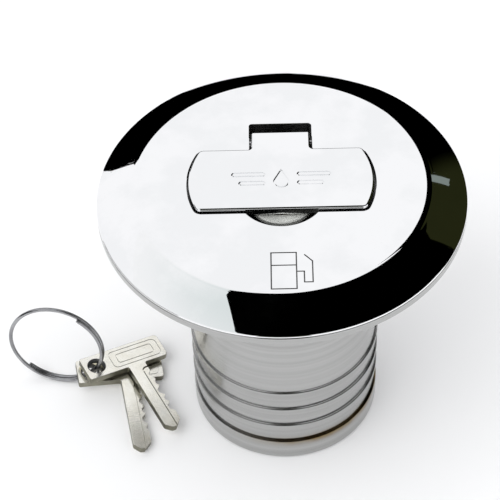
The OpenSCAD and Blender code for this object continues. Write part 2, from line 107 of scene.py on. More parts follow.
def outlineNormals(pts):
    # the way out at each point of a counter-clockwise outline, halfway between its two sides' and
    # lengthened at a corner so that a line drawn inside keeps its distance
    ahead, behind = np.roll(pts, -1, 0) - pts, pts - np.roll(pts, 1, 0)
    ahead = ahead / np.linalg.norm(ahead, axis=1, keepdims=True)
    behind = behind / np.linalg.norm(behind, axis=1, keepdims=True)
    t = ahead + behind
    t /= np.linalg.norm(t, axis=1, keepdims=True)
    stretch = 1 / np.clip((t * ahead).sum(1), 0.5, 1)
    return np.stack([t[:, 1], -t[:, 0]], 1) * stretch[:, None]


def plate(name, outline, low, high, edge=0.0, steps=4, draft=0.0):
    # an outline, counter-clockwise, carried up a profile whose two corners are quarter circles,
    # leaning inwards by the draft
    pts = np.asarray(outline, float)
    nrm = outlineNormals(pts)
    if edge > 0:
        q = np.radians(np.linspace(0, 90, steps + 1))
        inset = np.concatenate([edge * (1 - np.sin(q)), edge * (1 - np.cos(q))])
        height = np.concatenate([low + edge * (1 - np.cos(q)), high - edge * (1 - np.sin(q))])
    else:
        inset, height = np.zeros(2), np.array([low, high])
    inset = inset + draft * (height - low) / (high - low)
    rows = [np.c_[pts - nrm * d, np.full(len(pts), h)] for d, h in zip(inset, height)]
    n = len(pts)
    faces = gridFaces(len(rows), n)
    faces.append(list(range(n))[::-1])
    faces.append([(len(rows) - 1) * n + k for k in range(n)])
    return meshObject(name, np.concatenate(rows), faces)


def tube(name, path, radius, sides, taper):
    # a circle carried along a path: each ring stands square to the path, its radius times the taper
    p = np.asarray(path, float)
    t = np.gradient(p, axis=0)
    t /= np.linalg.norm(t, axis=1, keepdims=True)
    u = np.cross(t, [0.0, 0.0, 1.0])
    u /= np.linalg.norm(u, axis=1, keepdims=True)
    v = np.cross(t, u)
    r = radius * taper
    b = np.linspace(0, 2 * np.pi, sides, endpoint=False)
    rings = p[:, None] + r[:, None, None] * (
        np.cos(b)[None, :, None] * u[:, None] + np.sin(b)[None, :, None] * v[:, None])
    n = len(p)
    faces = gridFaces(n, sides)
    faces.append(list(range(sides))[::-1])
    faces.append([(n - 1) * sides + k for k in range(sides)])
    return meshObject(name, rings.reshape(-1, 3), faces)


def cylinderAt(name, centre, radius, low, high, sides, axis="Z"):
    # a circle carried straight from low to high along its axis
    a = np.linspace(0, 2 * np.pi, sides, endpoint=False)
    obj = plate(name, np.stack([radius * np.cos(a), radius * np.sin(a)], 1), low, high)
    if axis == "X":
        obj.data.transform(Matrix.Rotation(math.radians(90), 4, "Y"))
    obj.data.transform(Matrix.Translation(Vector(centre) * mm))
    return obj


def freeze(obj):
    # takes the modifiers' result as the object's own mesh
    dg = bpy.context.evaluated_depsgraph_get()
    mesh = bpy.data.meshes.new_from_object(obj.evaluated_get(dg))
    obj.modifiers.clear()
    old = obj.data
    obj.data = mesh
    bpy.data.meshes.remove(old)
    mesh.name = obj.name


def cutBy(obj, cutters):
    # cuts the cutters away one by one; each cut face keeps its cutter's finish
    for c in cutters:
        m = obj.modifiers.new("cut", "BOOLEAN")
        m.operation, m.object, m.solver = "DIFFERENCE", c, "EXACT"
        m.material_mode = "TRANSFER"
        freeze(obj)
        bpy.data.objects.remove(c)


def joinTo(obj, others):
    # melts the other objects into this one
    for c in others:
        m = obj.modifiers.new("join", "BOOLEAN")
        m.operation, m.object, m.solver = "UNION", c, "EXACT"
        freeze(obj)
        bpy.data.objects.remove(c)


def roundEdges(obj, width, angle, segments):
    # rounds every edge sharper than the angle
    m = obj.modifiers.new("round", "BEVEL")
    m.width, m.segments, m.limit_method = width * mm, segments, "ANGLE"
    m.angle_limit = math.radians(angle)
    m.miter_outer = "MITER_ARC"
    freeze(obj)


shading = {"sliver": 0.05, "level": 0.9999, "weight": 80}


def smooth(obj, angle):
    # slivers in flat faces are dissolved, and level faces stay flat
    bm = bmesh.new()
    bm.from_mesh(obj.data)
    bmesh.ops.dissolve_limit(bm, angle_limit=math.radians(shading["sliver"]), verts=bm.verts,
        edges=bm.edges, delimit={"MATERIAL"})
    bm.to_mesh(obj.data)
    bm.free()
    mesh = obj.data
    level = np.array([abs(p.normal.z) > shading["level"] for p in mesh.polygons])
    mesh.polygons.foreach_set("use_smooth", ~level)
    mesh.set_sharp_from_angle(angle=math.radians(angle))
    m = obj.modifiers.new("normals", "WEIGHTED_NORMAL")
    m.keep_sharp, m.weight, m.mode = True, shading["weight"], "FACE_AREA"
    freeze(obj)


def newGroup(name, inputs, outputs):
    # an empty node group with its named sockets
    g = bpy.data.node_groups.new(name, "ShaderNodeTree")
    for label, kind, value in inputs:
        s = g.interface.new_socket(label, in_out="INPUT", socket_type=kind)
        if value is not None:
            s.default_value = value
    for label, kind in outputs:
        g.interface.new_socket(label, in_out="OUTPUT", socket_type=kind)
    return g, g.nodes.new("NodeGroupInput"), g.nodes.new("NodeGroupOutput")


def mathNode(tree, op, a, b=None, c=None):
    # one Math node; each of a, b and c is a number or another node's socket
    n = tree.nodes.new("ShaderNodeMath")
    n.operation = op
    for i, v in enumerate((a, b, c)):
        if v is None:
            continue
        if isinstance(v, (int, float)):
            n.inputs[i].default_value = v
        else:
            tree.links.new(v, n.inputs[i])
    return n.outputs[0]


def smudgeGroup():
    # soft cloudy film, finger marks and a few fine hairline scratches
    g, gi, go = newGroup("smudgeFilm",
        [("Vector", "NodeSocketVector", None), ("Low", "NodeSocketFloat", 0.03),
         ("High", "NodeSocketFloat", 0.08), ("Size", "NodeSocketFloat", 60.0)],
        [("Roughness", "NodeSocketFloat"), ("Scratch", "NodeSocketFloat"),
         ("Film", "NodeSocketFloat")])
    cloud = g.nodes.new("ShaderNodeTexNoise")
    cloud.inputs["Detail"].default_value = 5
    cloud.inputs["Roughness"].default_value = 0.6
    g.links.new(gi.outputs["Vector"], cloud.inputs["Vector"])
    g.links.new(gi.outputs["Size"], cloud.inputs["Scale"])
    film = g.nodes.new("ShaderNodeMapRange")
    film.inputs["From Min"].default_value = 0.35
    film.inputs["From Max"].default_value = 0.7
    g.links.new(cloud.outputs["Fac"], film.inputs["Value"])
    g.links.new(film.outputs["Result"], go.inputs["Film"])
    rough = g.nodes.new("ShaderNodeMapRange")
    g.links.new(film.outputs["Result"], rough.inputs["Value"])
    g.links.new(gi.outputs["Low"], rough.inputs["To Min"])
    g.links.new(gi.outputs["High"], rough.inputs["To Max"])
    g.links.new(rough.outputs["Result"], go.inputs["Roughness"])
    stretch = g.nodes.new("ShaderNodeMapping")
    stretch.inputs["Rotation"].default_value = (0, 0, 0.7)
    stretch.inputs["Scale"].default_value = (40, 900, 400)
    g.links.new(gi.outputs["Vector"], stretch.inputs["Vector"])
    hair = g.nodes.new("ShaderNodeTexNoise")
    hair.inputs["Scale"].default_value = 1.0
    hair.inputs["Detail"].default_value = 2
    g.links.new(stretch.outputs["Vector"], hair.inputs["Vector"])
    sharp = g.nodes.new("ShaderNodeMapRange")
    sharp.inputs["From Min"].default_value = 0.66
    sharp.inputs["From Max"].default_value = 0.74
    g.links.new(hair.outputs["Fac"], sharp.inputs["Value"])
    g.links.new(sharp.outputs["Result"], go.inputs["Scratch"])
    return g


def turningGroup():
    # fine lines left by a lathe: noise that changes fast along the axis and hardly round it
    g, gi, go = newGroup("turningLines",
        [("Vector", "NodeSocketVector", None), ("Lines", "NodeSocketFloat", 4000.0)],
        [("Height", "NodeSocketFloat"), ("Tone", "NodeSocketFloat")])
    sep = g.nodes.new("ShaderNodeSeparateXYZ")
    g.links.new(gi.outputs["Vector"], sep.inputs["Vector"])
    scaled = mathNode(g, "MULTIPLY", sep.outputs["Z"], gi.outputs["Lines"])
    join = g.nodes.new("ShaderNodeCombineXYZ")
    g.links.new(mathNode(g, "MULTIPLY", sep.outputs["X"], 30.0), join.inputs["X"])
    g.links.new(mathNode(g, "MULTIPLY", sep.outputs["Y"], 30.0), join.inputs["Y"])
    g.links.new(scaled, join.inputs["Z"])
    fine = g.nodes.new("ShaderNodeTexNoise")
    fine.inputs["Scale"].default_value = 1.0
    fine.inputs["Detail"].default_value = 3
    g.links.new(join.outputs["Vector"], fine.inputs["Vector"])
    g.links.new(fine.outputs["Fac"], go.inputs["Height"])
    broad = g.nodes.new("ShaderNodeTexNoise")
    broad.inputs["Scale"].default_value = 0.12
    broad.inputs["Detail"].default_value = 4
    g.links.new(join.outputs["Vector"], broad.inputs["Vector"])
    g.links.new(broad.outputs["Fac"], go.inputs["Tone"])
    return g


def brushGroup():
    # short straight grain along X
    g, gi, go = newGroup("brushedGrain",
        [("Vector", "NodeSocketVector", None), ("Along", "NodeSocketFloat", 120.0),
         ("Across", "NodeSocketFloat", 3000.0)],
        [("Height", "NodeSocketFloat"), ("Tone", "NodeSocketFloat")])
    sep = g.nodes.new("ShaderNodeSeparateXYZ")
    g.links.new(gi.outputs["Vector"], sep.inputs["Vector"])
    join = g.nodes.new("ShaderNodeCombineXYZ")
    g.links.new(mathNode(g, "MULTIPLY", sep.outputs["X"], gi.outputs["Along"]), join.inputs["X"])
    g.links.new(mathNode(g, "MULTIPLY", sep.outputs["Y"], gi.outputs["Across"]), join.inputs["Y"])
    g.links.new(mathNode(g, "MULTIPLY", sep.outputs["Z"], gi.outputs["Across"]), join.inputs["Z"])
    n = g.nodes.new("ShaderNodeTexNoise")
    n.inputs["Scale"].default_value = 1.0
    n.inputs["Detail"].default_value = 4
    g.links.new(join.outputs["Vector"], n.inputs["Vector"])
    g.links.new(n.outputs["Fac"], go.inputs["Height"])
    b = g.nodes.new("ShaderNodeTexNoise")
    b.inputs["Scale"].default_value = 250.0
    b.inputs["Detail"].default_value = 5
    g.links.new(gi.outputs["Vector"], b.inputs["Vector"])
    g.links.new(b.outputs["Fac"], go.inputs["Tone"])
    return g


smudgeFilm, turningLines, brushedGrain = smudgeGroup(), turningGroup(), brushGroup()


patterns = {"filmSize": 60.0, "turned": (turningLines, {"Lines": 4000.0}),
    "brushed": (brushedGrain, {"Along": 120.0, "Across": 4000.0}), "bumpDistance": 0.0001}


def metal(name, dark, light, low, high, bump, pattern="smudge"):
    # one metal finish: colour between dark and light by tone, roughness between low and high
    mat = bpy.data.materials.new(name)
    mat.use_nodes = True
    t = mat.node_tree
    bsdf = t.nodes["Principled BSDF"]
    bsdf.inputs["Metallic"].default_value = 1.0
    where = t.nodes.new("ShaderNodeTexCoord").outputs["Object"]
    film = t.nodes.new("ShaderNodeGroup")
    film.node_tree = smudgeFilm
    film.inputs["Low"].default_value = low
    film.inputs["High"].default_value = high
    film.inputs["Size"].default_value = patterns["filmSize"]
    t.links.new(where, film.inputs["Vector"])
    t.links.new(film.outputs["Roughness"], bsdf.inputs["Roughness"])
    tone, height = film.outputs["Film"], film.outputs["Scratch"]
    if pattern != "smudge":
        grain = t.nodes.new("ShaderNodeGroup")
        grain.node_tree, values = patterns[pattern]
        for label, value in values.items():
            grain.inputs[label].default_value = value
        t.links.new(where, grain.inputs["Vector"])
        tone, height = grain.outputs["Tone"], grain.outputs["Height"]
    ramp = t.nodes.new("ShaderNodeValToRGB")
    ramp.color_ramp.elements[0].color = (*dark, 1)
    ramp.color_ramp.elements[1].color = (*light, 1)
    ramp.color_ramp.elements[0].position = 0.3
    ramp.color_ramp.elements[1].position = 0.7
    t.links.new(tone, ramp.inputs["Fac"])
    t.links.new(ramp.outputs["Color"], bsdf.inputs["Base Color"])
    b = t.nodes.new("ShaderNodeBump")
    b.inputs["Strength"].default_value = bump
    b.inputs["Distance"].default_value = patterns["bumpDistance"]
    t.links.new(height, b.inputs["Height"])
    t.links.new(b.outputs["Normal"], bsdf.inputs["Normal"])
    return mat


def rubber(name):
    # near-black, with a fine grain in its colour, roughness and bump
    mat = bpy.data.materials.new(name)
    mat.use_nodes = True
    t = mat.node_tree
    bsdf = t.nodes["Principled BSDF"]
    where = t.nodes.new("ShaderNodeTexCoord").outputs["Object"]
    n = t.nodes.new("ShaderNodeTexNoise")
    n.inputs["Scale"].default_value = 900
    n.inputs["Detail"].default_value = 6
    t.links.new(where, n.inputs["Vector"])
    ramp = t.nodes.new("ShaderNodeValToRGB")
    ramp.color_ramp.elements[0].color = (0.012, 0.012, 0.013, 1)
    ramp.color_ramp.elements[1].color = (0.045, 0.044, 0.042, 1)
    t.links.new(n.outputs["Fac"], ramp.inputs["Fac"])
    t.links.new(ramp.outputs["Color"], bsdf.inputs["Base Color"])
    rough = t.nodes.new("ShaderNodeMapRange")
    rough.inputs["To Min"].default_value, rough.inputs["To Max"].default_value = 0.45, 0.7
    t.links.new(n.outputs["Fac"], rough.inputs["Value"])
    t.links.new(rough.outputs["Result"], bsdf.inputs["Roughness"])
    b = t.nodes.new("ShaderNodeBump")
    b.inputs["Strength"].default_value = 0.25
    b.inputs["Distance"].default_value = patterns["bumpDistance"]
    t.links.new(n.outputs["Fac"], b.inputs["Height"])
    t.links.new(b.outputs["Normal"], bsdf.inputs["Normal"])
    return mat


# each finish: dark and light colour, lowest and highest roughness, bump, pattern
polishedChrome = metal("polishedChrome", (0.90, 0.905, 0.91), (0.95, 0.95, 0.955), 0.015, 0.04, 0.02)
turnedChrome = metal("turnedChrome", (0.38, 0.38, 0.375), (0.49, 0.49, 0.485), 0.18, 0.28, 0.2, "turned")
satinSteel = metal("satinSteel", (0.46, 0.46, 0.47), (0.60, 0.60, 0.61), 0.22, 0.36, 0.15, "brushed")
ringSteel = metal("ringSteel", (0.26, 0.26, 0.27), (0.42, 0.42, 0.43), 0.18, 0.30, 0.10, "brushed")
# the recess finish below is a dull, unpolished cast skin, and its dark colour is also painted shade: it darkens the
# walls of seats, slots, holes, grooves and engraved lines as their shadow would
castAndPaintedShade = metal("castAndPaintedShade", (0.10, 0.10, 0.10), (0.19, 0.19, 0.185), 0.35, 0.5, 0.2)
lockBrass = metal("lockBrass", (0.56, 0.42, 0.18), (0.74, 0.58, 0.28), 0.2, 0.34, 0.15, "turned")
keyNickel = metal("keyNickel", (0.90, 0.87, 0.77), (1.0, 0.985, 0.915), 0.17, 0.28, 0.1, "brushed")
# a darker, rougher copy of the key's nickel for its side faces: painted shade on the edges
keySidePaintedShade = metal("keySidePaintedShade", (0.15, 0.145, 0.11), (0.30, 0.29, 0.23), 0.3, 0.45, 0.2, "brushed")
lockNickel = metal("lockNickel", (0.80, 0.81, 0.77), (0.95, 0.96, 0.92), 0.45, 0.6, 0.15)
lockNickel.node_tree.nodes["Principled BSDF"].inputs["Metallic"].default_value = 0.55  # dull plating
blackRubber = rubber("blackRubber")


# heights in metres; the stain fades to nothing at reach above and below its level
stain = {"level": -0.0665, "reach": 0.0021, "colour": (0.20, 0.13, 0.035), "growth": 26.0, "middle": 0.45,
    "spotSize": 160.0, "strength": 2.4, "most": 0.85}


def tarnish(mat):
    # a brown stain round one height of the piece, broken up by noise and growing towards +X
    t = mat.node_tree
    bsdf = t.nodes["Principled BSDF"]
    plain = bsdf.inputs["Base Color"].links[0].from_socket
    where = t.nodes.new("ShaderNodeTexCoord").outputs["Object"]
    sep = t.nodes.new("ShaderNodeSeparateXYZ")
    t.links.new(where, sep.inputs["Vector"])
    away = mathNode(t, "ABSOLUTE", mathNode(t, "SUBTRACT", sep.outputs["Z"], stain["level"]))
    band = mathNode(t, "SUBTRACT", 1.0, mathNode(t, "DIVIDE", away, stain["reach"]))
    side = mathNode(t, "MULTIPLY_ADD", sep.outputs["X"], stain["growth"], stain["middle"])
    spots = t.nodes.new("ShaderNodeTexNoise")
    spots.inputs["Scale"].default_value = stain["spotSize"]
    spots.inputs["Detail"].default_value = 4
    t.links.new(where, spots.inputs["Vector"])
    band, side = mathNode(t, "MAXIMUM", band, 0.0), mathNode(t, "MAXIMUM", side, 0.0)
    broken = mathNode(t, "MULTIPLY", spots.outputs["Fac"], stain["strength"])
    amount = mathNode(t, "MULTIPLY", mathNode(t, "MULTIPLY", band, side), broken)
    limit = mathNode(t, "MINIMUM", amount, stain["most"])
    mix = t.nodes.new("ShaderNodeMix")
    mix.data_type = "RGBA"
    mix.inputs[7].default_value = (*stain["colour"], 1)
    t.links.new(limit, mix.inputs[0])
    t.links.new(plain, mix.inputs[6])
    t.links.new(mix.outputs[2], bsdf.inputs["Base Color"])


tarnish(turnedChrome)
print("materials made")


def finishPiece(obj, body, stand):
    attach(obj, body)
    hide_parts(stand)


# sizes are in millimetres from the middle of the deck face; under, rimTop, top, boss and the floors
# are heights, and names ending in R are radii
cap = {"rimR": 46.0, "under": 2.35, "rimTop": 2.8, "shoulderR": 36.5, "top": 7.3, "boss": 2.45,
    "bossR": 28.0, "wall": 1.6, "cavityR": 43.0, "seatFloor": 5.8, "slotFloor": 3.3,
    "slotFront": 12.7, "slotRear": 20.7, "slotHalf": 7.9, "pocketR": 11.0, "pocketFloor": 3.6,
    "lockY": -4.0, "holeR": 6.6, "gap": 0.4, "lip": 0.1, "crown": 0.2,
    "shoulderSoft": 4.0, "rimSoft": 0.36, "pinHoleR": 1.02, "pinHoleEnds": (-10.6, 28.5),
    "through": (-2, 12)}
# drop is its middle, radius and height to the point; bars are the rows' places and reaches
handle = {"front": -10.0, "rear": 10.8, "endR": 23.0, "stemHalf": 7.5, "stemRear": 16.9,
    "low": 6.1, "high": 8.3, "corner": 1.6, "hingeY": 15.0, "hingeZ": 5.6, "knuckleR": 2.0,
    "pinR": 1.05, "pinHalf": 9, "knuckleHalf": 7.4, "springR": 2.2, "springHalf": 3.3, "edge": 0.42,
    "draft": 0.16, "stemCorner": 0.7, "line": 0.34, "deep": 0.35, "drop": (0, -0.9, 2.0, 4.5),
    "bars": ((1.7, 11.6), (-1.3, 9.8)), "barStart": 4.6, "barR": 0.75}


def handleOutline(grow=0.0, rear=None):
    # the bar's ends are arcs about the cap's axis, met by small corner arcs; the stem stands behind
    h = handle
    endR, rho = h["endR"] + grow, h["corner"] + grow
    y0, y1 = h["front"] - grow, h["rear"] + grow
    cx0 = math.sqrt((endR - rho) ** 2 - (y0 + rho) ** 2)
    cx1 = math.sqrt((endR - rho) ** 2 - (y1 - rho) ** 2)
    a0 = math.degrees(math.atan2(y0 + rho, cx0))
    a1 = math.degrees(math.atan2(y1 - rho, cx1))
    s, rear, rc = h["stemHalf"] + grow, (rear or h["stemRear"]) + grow, h["stemCorner"]
    right = np.concatenate([
        arc(cx0, y0 + rho, rho, -90, a0, 8),
        arc(0, 0, endR, a0, a1, 24)[1:-1],
        arc(cx1, y1 - rho, rho, a1, 90, 8),
        arc(s + rc, y1 + rc, rc, 270, 180, 6),
        arc(s - rc, rear - rc, rc, 0, 90, 6)])
    left = right[::-1] * [-1, 1]
    return np.concatenate([right, left])


def drop(cx, cy, r, tall):
    # a drop: circle below, two straight sides meeting above it
    a = math.degrees(math.asin(r / tall))
    return np.concatenate([arc(cx, cy, r, 180 - a, 360 + a, 28), [[cx, cy + tall]]])


def capsule(x0, x1, y, r):
    # a half circle at each end of a straight bar
    return np.concatenate([arc(x1, y, r, -90, 90, 10), arc(x0, y, r, 90, 270, 10)])


def dress(objs, mat):
    # gives each object one finish
    for obj in objs:
        obj.data.materials.append(mat)
    return objs


def makeCap():
    # one profile turned about Z, then the seat, slot, pocket, holes and mark cut from it; steps of a
    # tenth or two beside the inner corners keep their shading tight
    c = cap
    slope = math.atan2(c["top"] - c["rimTop"], c["rimR"] - c["shoulderR"])
    deg = math.degrees(slope)
    rs, rr = c["shoulderSoft"], c["rimSoft"]
    # shoulder arc: centre under the flat top so that both faces meet it
    sx, sz = c["shoulderR"] - rs * math.tan(slope / 2), c["top"] - rs
    shoulder = arc(sx, sz, rs, 90, 90 - deg, 14)
    # rim arc between the bevel and the plain edge
    rim = arc(c["rimR"] - rr, c["rimTop"] - rr * math.tan((math.pi / 2 - slope) / 2), rr, 90 - deg, 0, 6)
    # the bevel is crowned: its slope grows steadily from the shoulder to the rim
    b0, b1 = shoulder[-1], rim[0]
    bevel = [[b0[0] + (b1[0] - b0[0]) * k, b0[1] + (b1[1] - b0[1]) * (k - c["crown"] * k * (1 - k))]
        for k in np.linspace(0.03, 0.97, 14)]
    skin = c["top"] - c["wall"]
    outer = [[sx - 0.6, c["top"]], *shoulder, *bevel, *rim]
    cavityTop = skin - 0.1 - (c["cavityR"] - c["shoulderR"]) * math.tan(slope) + 0.05
    low = [[c["rimR"], c["under"] + 0.15], [c["rimR"] - 0.15, c["under"]],
        [c["cavityR"] + 0.1, c["under"]], [c["cavityR"] - 0.1, cavityTop],
        [c["shoulderR"] - 0.3, skin], [c["bossR"] + 0.4, skin], [c["bossR"], skin - 0.4],
        [c["bossR"], c["boss"] + 0.2], [c["bossR"] - 0.2, c["boss"]]]
    obj = lathe("capCover", [*outer, *low], 320)
    fixNormals(obj)
    dress([obj], polishedChrome)
    g, lip, back = c["gap"], c["lip"], c["slotRear"] - c["gap"]
    seat = plate("seatCut", handleOutline(g, back), c["seatFloor"], 12)
    # the lip flares outwards as it rises, which leaves a fine chamfer round the seat
    seatLip = plate("seatLip", handleOutline(g - 0.02, back), c["top"] - lip, c["top"] + lip,
        draft=-2 * lip)
    # the slot stands a little inside the seat's stem, so their walls don't coincide
    half, rear = c["slotHalf"] - 0.05, c["slotRear"] - 0.05
    slot = plate("slotCut", roundCorners([(-half, c["slotFront"], 0.3), (half, c["slotFront"], 0.3),
        (half, rear, 0.6), (-half, rear, 0.6)]), c["slotFloor"], c["seatFloor"] + 0.7)
    pocket = cylinderAt("pocketCut", (0, c["lockY"], 0), c["pocketR"], c["pocketFloor"], 12, 128)
    hole = cylinderAt("holeCut", (0, c["lockY"], 0), c["holeR"], *c["through"], 96)
    pin = cylinderAt("pinCut", (0, handle["hingeY"], handle["hingeZ"]), c["pinHoleR"],
        *c["pinHoleEnds"], 48, "X")
    # the cut walls and floors of seat, slot, pocket and holes, and the pump mark's grooves, take the dark recess
    # finish: painted shade inside them
    cutBy(obj, dress([seat, slot, pocket, hole, pin], castAndPaintedShade))
    cutBy(obj, dress([seatLip], polishedChrome))
    cutBy(obj, dress(pumpMark(c["top"]), castAndPaintedShade))
    smooth(obj, 30)
    return obj


pump = {"line": 0.32, "deep": 0.3, "left": -2.8, "right": 3.2, "foot": -35.0, "roof": -23.6,
    "display": -27.6, "hose": ((3.2, -29.6), (5.0, -29.6), (5.0, -33.0), (7.0, -33.0), (7.0, -26.4),
    (5.2, -24.4))}


def pumpMark(top):
    # engraved outline of a fuel pump: body, display line and hose, each stroke a narrow groove
    p = pump
    w, deep = p["line"], p["deep"]
    x0, x1, y0, y1 = p["left"], p["right"], p["foot"], p["roof"]
    lines = [((x0, y0), (x0, y1)), ((x0, y1), (x1, y1)), ((x1, y1), (x1, y0)),
        ((x0, y0), (x1, y0)), ((x0, p["display"]), (x1, p["display"])),
        *zip(p["hose"][:-1], p["hose"][1:])]
    cuts = []
    for k, ((ax, ay), (bx, by)) in enumerate(lines):
        d = np.array([bx - ax, by - ay])
        n = np.array([-d[1], d[0]]) / np.linalg.norm(d) * w / 2
        a, b = np.array([ax, ay]), np.array([bx, by])
        e = d / np.linalg.norm(d) * w / 2
        stroke = np.array([a - e - n, b + e - n, b + e + n, a - e + n])
        cuts.append(plate(f"mark{k}", stroke, top - deep, top + 1))
    first, rest = cuts[0], cuts[1:]
    joinTo(first, rest)
    return [first]


def fixNormals(obj):
    # merges doubled points, then turns every face outwards
    bm = bmesh.new()
    bm.from_mesh(obj.data)
    bmesh.ops.remove_doubles(bm, verts=bm.verts, dist=1e-7)
    bmesh.ops.recalc_face_normals(bm, faces=bm.faces)
    bm.to_mesh(obj.data)
    bm.free()


capCover = makeCap()
finishPiece(capCover, "cap", "cap_cover")
print("cap cover", len(capCover.data.polygons))


def outlineGroove(name, shape, low, high):
    # a groove along a shape's outline: the shape less the same shape drawn in by the line's width
    pts = np.asarray(shape, float)
    obj = plate(name, pts, low, high)
    inner = plate("inner", pts - outlineNormals(pts) * handle["line"], low - 1, high + 1)
    cutBy(obj, [inner])
    return obj


def handleMarks():
    # a drop between two pairs of short bars, as outlines
    low, high = handle["high"] - handle["deep"], handle["high"] + 1
    marks = [outlineGroove("dropMark", drop(*handle["drop"]), low, high)]
    for side in (-1, 1):
        for y, reach in handle["bars"]:
            a, b = sorted((side * handle["barStart"], side * reach))
            marks.append(outlineGroove(f"bar{side}{y}", capsule(a, b, y, handle["barR"]), low, high))
    return marks


def makeHandle():
    # the outline carried up between two rounded edges, with a knuckle behind bored for pin and spring
    h = handle
    hinge = (0, h["hingeY"], h["hingeZ"])
    obj = plate("foldingHandle", handleOutline(), h["low"], h["high"], h["edge"], 8, h["draft"])
    fixNormals(obj)
    dress([obj], polishedChrome)
    knuckle = cylinderAt("knuckle", hinge, h["knuckleR"], -h["knuckleHalf"], h["knuckleHalf"], 64, "X")
    joinTo(obj, [knuckle])
    pin = cylinderAt("pinBore", hinge, h["pinR"], -h["pinHalf"], h["pinHalf"], 48, "X")
    room = cylinderAt("springRoom", hinge, h["springR"], -h["springHalf"], h["springHalf"], 64, "X")
    cutBy(obj, [pin, room])
    roundEdges(obj, 0.06, 60, 2)
    # the marks' grooves take the dark recess finish: painted shade in the engraved lines
    cutBy(obj, dress(handleMarks(), castAndPaintedShade))
    smooth(obj, 40)
    return obj


foldingHandle = makeHandle()
finishPiece(foldingHandle, "handle", "flap")
print("handle", len(foldingHandle.data.polygons))


# barbTop, pitch and land place the hose ledges; lead is how far a thread groove climbs in a turn
filler = {"flangeR": 46.0, "flangeT": 2.2, "flangeEdge": 0.35, "neckR": 24.0, "valleyR": 24.5,
    "barbR": 25.0, "barbTop": 45.7, "pitch": 6.8, "land": 1.2, "len": 73.3, "boreR": 21.5,
    "throatR": 20.0, "ledge": 18.2, "undercutR": 22.3, "undercutEnd": 28.2, "seatR": 23.7,
    "seatZ": 0.75, "pcd": 74.0, "screwR": 2.6, "sinkR": 4.0, "grooveR": 21.6, "grooveIn": 18.5,
    "grooveH": 3.7, "grooveFrom": -16, "lugMid": -7.5, "lead": 24.0}


def grooveCutter(name, turn):
    # a rectangular bar that climbs a helix: its height grows with the angle by the lead per turn
    f = filler
    a1 = (f["seatZ"] + f["grooveH"] / 2 + 1 - f["lugMid"]) / f["lead"] * 360
    a = np.linspace(f["grooveFrom"], a1, 60)
    z = f["lugMid"] + f["lead"] * a / 360
    t = np.radians(a + turn)
    rows = []
    for r, dz in ((f["grooveIn"], -1), (f["grooveR"], -1), (f["grooveR"], 1), (f["grooveIn"], 1)):
        rows.append(np.stack([r * np.cos(t), r * np.sin(t), z + dz * f["grooveH"] / 2], 1))
    pts = np.stack(rows, 1).reshape(-1, 3)
    n = len(a)
    faces = gridFaces(n, 4)
    faces.append([3, 2, 1, 0])
    faces.append([(n - 1) * 4 + k for k in range(4)])
    obj = meshObject(name, pts, faces)
    fixNormals(obj)
    return obj


def makeFiller():
    # a closed profile turned about Z, down the outside and back up the bore, then drilled and grooved
    f = filler
    er = f["flangeEdge"]
    outer = [[f["seatR"], f["flangeT"]], [f["flangeR"] - 1.2, f["flangeT"]],
        *arc(f["flangeR"] - er, f["flangeT"] - er, er, 90, 0, 6),
        *arc(f["flangeR"] - er, er, er, 0, -90, 6), [f["flangeR"] - 1.2, 0],
        [f["neckR"] + 1.2, 0], *arc(f["neckR"] + 0.5, -0.5, 0.5, 90, 180, 6),
        [f["neckR"], 14.0 - f["barbTop"]], [f["neckR"] + 0.05, 9.0 - f["barbTop"]]]
    # each hose ledge: a small step out, a short land and a slope back to the valley
    for i in range(3):
        z = -f["barbTop"] - i * f["pitch"]
        outer += [[f["valleyR"], z + 0.12], [f["valleyR"] + 0.12, z],
            *arc(f["barbR"] - 0.12, z - 0.12, 0.12, 90, 0, 4),
            [f["barbR"], z - f["land"] + 0.1], [f["barbR"] - 0.1, z - f["land"] - 0.3],
            [f["valleyR"], z - f["pitch"] + 0.6]]
    z = -f["barbTop"] - 3 * f["pitch"] - 0.4
    outer += [[f["neckR"] - 0.2, z + 1.2], [f["neckR"] - 0.6, z + 0.9], [f["neckR"] - 0.6, z + 0.05],
        [f["neckR"] - 0.4, z], *arc(f["barbR"] - 0.15, z - 0.15, 0.15, 90, 0, 4),
        [f["barbR"], -f["len"] + 1.2], *arc(f["barbR"] - 0.8, -f["len"] + 0.8, 0.8, 0, -90, 6)]
    inner = [[f["boreR"] + 0.5, -f["len"]], [f["boreR"], -f["len"] + 0.5], [f["boreR"], -f["len"] + 1.5],
        [f["boreR"], -f["undercutEnd"] - 0.5], [f["boreR"], -f["undercutEnd"]],
        [f["undercutR"], -f["undercutEnd"] + 1], [f["undercutR"], -f["ledge"] - 0.2],
        [f["undercutR"] - 0.2, -f["ledge"]], [f["throatR"] + 0.2, -f["ledge"]],
        [f["throatR"], -f["ledge"] + 0.2], [f["throatR"], f["seatZ"] - 0.2],
        [f["throatR"] + 0.2, f["seatZ"]], [f["seatR"], f["seatZ"]]]
    obj = latheRing("fillerBody", np.array([*outer, *inner]), 320)
    fixNormals(obj)
    dress([obj], turnedChrome)
    cuts = []
    for i in range(4):
        a = math.radians(45 + 90 * i)
        x, y = f["pcd"] / 2 * math.cos(a), f["pcd"] / 2 * math.sin(a)
        sink = latheRing(f"sink{i}", np.array([[0.01, -1], [f["screwR"], -1], [f["screwR"], 1.0],
            [f["sinkR"], 2.4], [0.01, 2.4]]), 64)
        fixNormals(sink)
        sink.data.transform(Matrix.Translation(Vector((x, y, 0)) * mm))
        cuts.append(sink)
    cutBy(obj, cuts)
    cutBy(obj, [grooveCutter(f"groove{k}", 120 * k) for k in range(3)])
    smooth(obj, 30)
    return obj


